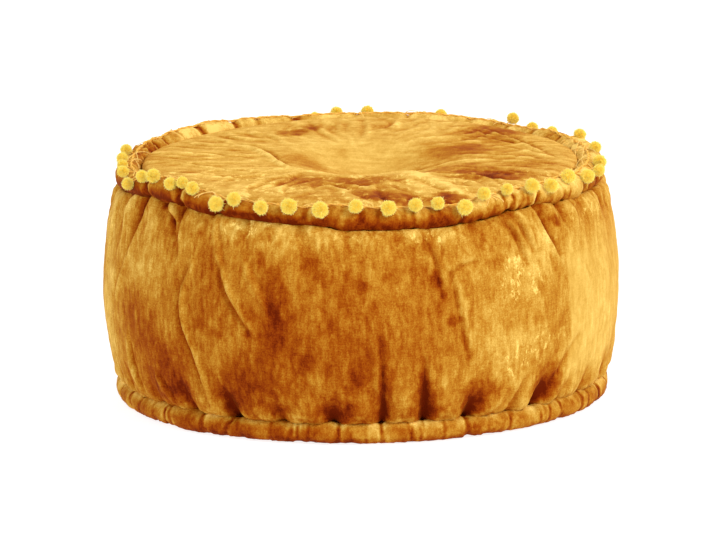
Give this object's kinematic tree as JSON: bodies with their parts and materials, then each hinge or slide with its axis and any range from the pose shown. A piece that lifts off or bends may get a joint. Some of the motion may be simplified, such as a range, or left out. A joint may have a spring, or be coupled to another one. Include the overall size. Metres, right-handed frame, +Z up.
{
  "type": "velvet pouf",
  "caption": "Low round pouf with a gathered velvet side band, a domed top panel dipped in the middle, padded rolls round both seams and a cord of yarn pompoms round the top edge.",
  "frame": {"origin": "on the floor, under the middle of the pouf", "axes": "+Z up; -Y towards the front of the pouf as pictured; +X towards its right"},
  "size_m": [0.5517, 0.5521, 0.2737],
  "materials": {
    "velvet": "crushed velvet, mustard amber with rust in its shade",
    "pompom_yarn": "fuzzy brushed yarn, lemon yellow",
    "trim_cord": "twisted yarn cord, pale amber"
  },
  "bodies": {
    "root": {"side_band": "velvet", "top_panel": "velvet", "bottom_panel": "velvet", "top_roll": "velvet", "bottom_roll": "velvet", "pompom_cord": "trim_cord", "pompom_01": "pompom_yarn", "pompom_02": "pompom_yarn", "pompom_03": "pompom_yarn", "pompom_04": "pompom_yarn", "pompom_05": "pompom_yarn", "pompom_06": "pompom_yarn", "pompom_07": "pompom_yarn", "pompom_08": "pompom_yarn", "pompom_09": "pompom_yarn", "pompom_10": "pompom_yarn", "pompom_11": "pompom_yarn", "pompom_12": "pompom_yarn", "pompom_13": "pompom_yarn", "pompom_14": "pompom_yarn", "pompom_15": "pompom_yarn", "pompom_16": "pompom_yarn", "pompom_17": "pompom_yarn", "pompom_18": "pompom_yarn", "pompom_19": "pompom_yarn", "pompom_20": "pompom_yarn", "pompom_21": "pompom_yarn", "pompom_22": "pompom_yarn", "pompom_23": "pompom_yarn", "pompom_24": "pompom_yarn", "pompom_25": "pompom_yarn", "pompom_26": "pompom_yarn", "pompom_27": "pompom_yarn", "pompom_28": "pompom_yarn", "pompom_29": "pompom_yarn", "pompom_30": "pompom_yarn", "pompom_31": "pompom_yarn", "pompom_32": "pompom_yarn", "pompom_33": "pompom_yarn", "pompom_34": "pompom_yarn", "pompom_35": "pompom_yarn", "pompom_36": "pompom_yarn", "pompom_37": "pompom_yarn", "pompom_38": "pompom_yarn", "pompom_39": "pompom_yarn", "pompom_40": "pompom_yarn", "pompom_41": "pompom_yarn", "pompom_42": "pompom_yarn", "pompom_43": "pompom_yarn", "pompom_44": "pompom_yarn", "pompom_45": "pompom_yarn", "pompom_46": "pompom_yarn", "pompom_47": "pompom_yarn", "pompom_48": "pompom_yarn", "pompom_49": "pompom_yarn", "pompom_50": "pompom_yarn"}
  },
  "joints": []
}
